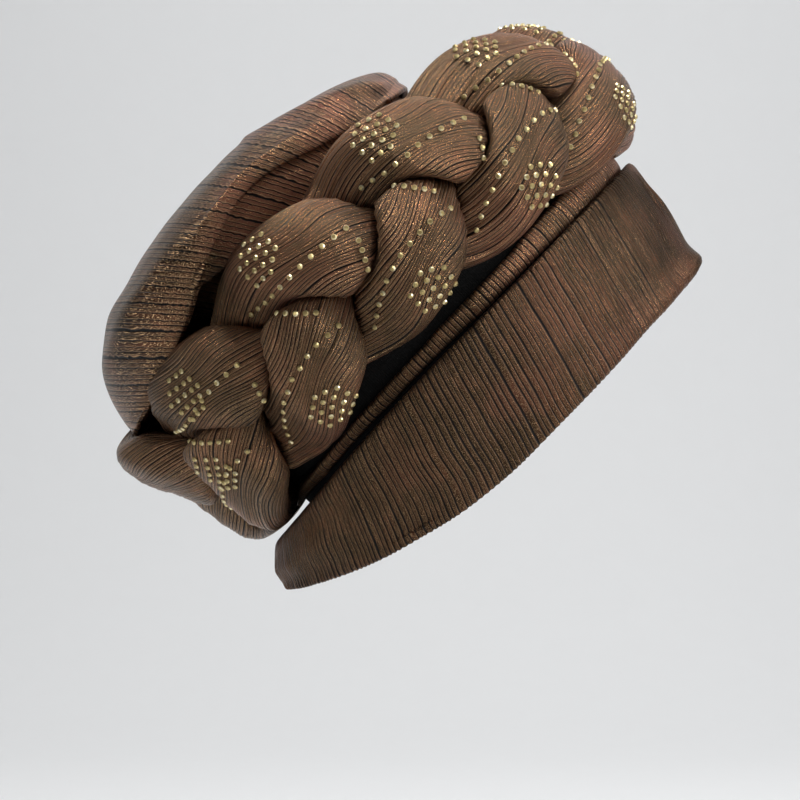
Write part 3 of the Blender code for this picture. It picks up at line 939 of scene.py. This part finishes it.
def stone_disc(strand, lobe, middle):
    """Phases and places of a filled hexagon of stones, measured over the surface."""
    phase, place_round = middle
    step = 3.0
    around_it = strand_at_phase(
        strand, lobe,
        [phase - step, phase + step, phase, phase],
        [place_round, place_round, place_round - step, place_round + step],
    )[0]
    by_phase = (around_it[1] - around_it[0]) / (2 * step)
    by_place = (around_it[3] - around_it[2]) / (2 * step)
    ahead = by_phase / np.linalg.norm(by_phase)
    aside = by_place - ahead * (by_place @ ahead)
    aside = aside / np.linalg.norm(aside)
    spots = []
    for u, v in hex_disc(2, DISC_PITCH):
        offset = ahead * u + aside * v
        shift = np.linalg.lstsq(np.stack((by_phase, by_place), 1), offset, rcond=None)[0]
        spots.append((phase + shift[0], place_round + shift[1]))
    return spots


def build_stones(strand):
    """The gold stones of one strand, on every lobe but those at the nape."""
    places = []
    normals = []
    directions = []
    for lobe in range(-BRAID_PERIODS, 2 * BRAID_PERIODS):
        for side in LOBE_STONES:
            _, middle = strand_at_phase(strand, lobe, side["disc"][0], side["disc"][1])
            if not 0 <= middle < 2 * math.pi or abs(middle - math.pi) < BARE_NAPE:
                continue
            near_nape = abs(middle - math.pi) < NAPE_LOBES
            spots = stone_disc(strand, lobe, side["nape_disc"] if near_nape else side["disc"])
            for run, spacing in zip(side["lines"], LINE_SPACINGS):
                spots += stone_line(strand, lobe, run, spacing)
            phase, place_round = np.array(spots).T
            here, angle = strand_at_phase(strand, lobe, phase, place_round)
            ahead = strand_at_phase(strand, lobe, phase + 2, place_round)[0] - here
            beside = strand_at_phase(strand, lobe, phase, place_round + 4)[0] - here
            outward = unit(np.cross(beside, ahead))
            away = here - strand_middle(strand, angle)
            outward *= np.sign((outward * away).sum(-1, keepdims=True))
            places.append(here + outward * STONE_SEAT)
            normals.append(outward)
            directions.append(unit(ahead))
    turn = np.array((FORWARD, NEAR, UP))
    made = stone_mesh(
        f"stones_{strand + 1}", place(np.concatenate(places)),
        np.concatenate(normals) @ turn, np.concatenate(directions) @ turn,
    )
    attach(made, "root")
    made.data.materials.append(rhinestone(f"gold_stone_{strand + 1}"))
    return made


def area_light(name, at, towards, size, energy, colour=(1, 1, 1)):
    light = bpy.data.objects.new(name, bpy.data.lights.new(name, "AREA"))
    bpy.context.scene.collection.objects.link(light)
    light.data.shape = "RECTANGLE"
    light.data.size, light.data.size_y = size
    light.data.energy = energy
    light.data.color = colour
    light.location = at
    light.rotation_euler = (Vector(towards) - Vector(at)).to_track_quat("-Z", "Y").to_euler()
    return light


def build_stage():
    """A pale floor that sweeps up behind into a backdrop."""
    depth = np.concatenate((np.linspace(-2.5, 0.9, 12), 0.9 + 0.7 * np.sin(np.linspace(0.1, 1, 12) * math.pi / 2)))
    rise = np.concatenate((np.zeros(12), 0.7 - 0.7 * np.cos(np.linspace(0.1, 1, 12) * math.pi / 2)))
    depth = np.append(depth, 1.6)
    rise = np.append(rise, 3.5)
    vertices = []
    for y, z in zip(depth, rise):
        vertices += [(-4, y, z - 0.30), (4, y, z - 0.30)]
    faces = [(2 * i, 2 * i + 1, 2 * i + 3, 2 * i + 2) for i in range(len(depth) - 1)]
    mesh = bpy.data.meshes.new("studio_sweep")
    mesh.from_pydata(vertices, [], faces)
    mesh.polygons.foreach_set("use_smooth", np.ones(len(faces), bool))
    sweep = bpy.data.objects.new("studio_sweep", mesh)
    sweep.data.materials.append(plain("pale_paper", (0.82, 0.825, 0.83), 0.9))
    bpy.context.scene.collection.objects.link(sweep)


def build_lights():
    target = (-0.04, 0, 0.06)
    area_light("overhead_softbox", (0.10, -0.15, 1.20), target, (0.4, 0.35), 12)
    area_light("front_softbox", (0.95, -0.45, 0.95), target, (0.3, 0.3), 5)
    area_light("back_softbox", (-0.75, 0.25, 1.05), target, (0.5, 0.5), 3)
    area_light("front_strip", (1.2, -0.25, 0.35), target, (0.25, 0.8), 9)
    area_light("camera_fill", (-0.80, -1.4, 0.35), target, (0.4, 0.4), 2.4)
    area_light("backdrop_wash", (0, 0.65, 1.5), (0, 1.6, 0.2), (2.5, 0.4), 6)
    world = bpy.data.worlds.new("studio_world")
    bpy.context.scene.world = world
    world.use_nodes = True
    world.node_tree.nodes["Background"].inputs[0].default_value = (0.78, 0.80, 0.82, 1)
    world.node_tree.nodes["Background"].inputs[1].default_value = 0.20


def build_camera():
    camera = bpy.data.objects.new("photo_camera", bpy.data.cameras.new("photo_camera"))
    bpy.context.scene.collection.objects.link(camera)
    camera.location = (
        (PHOTO_MIDDLE - ORIGIN_PIXEL[0]) * PIXEL,
        -CAMERA_DISTANCE,
        (ORIGIN_PIXEL[1] - PHOTO_MIDDLE) * PIXEL,
    )
    camera.rotation_euler = (math.pi / 2, 0, 0)
    camera.data.sensor_width = 36
    camera.data.lens = camera.data.sensor_width / 2 * CAMERA_DISTANCE / (PHOTO_MIDDLE * PIXEL)
    bpy.context.scene.camera = camera
    bpy.context.scene.view_settings.view_transform = "Standard"


build_camera()
build_cap()
build_headband()
build_roll()
build_bag()
for number in range(STRANDS):
    build_strand(number)
    build_stones(number)
build_stage()
build_lights()
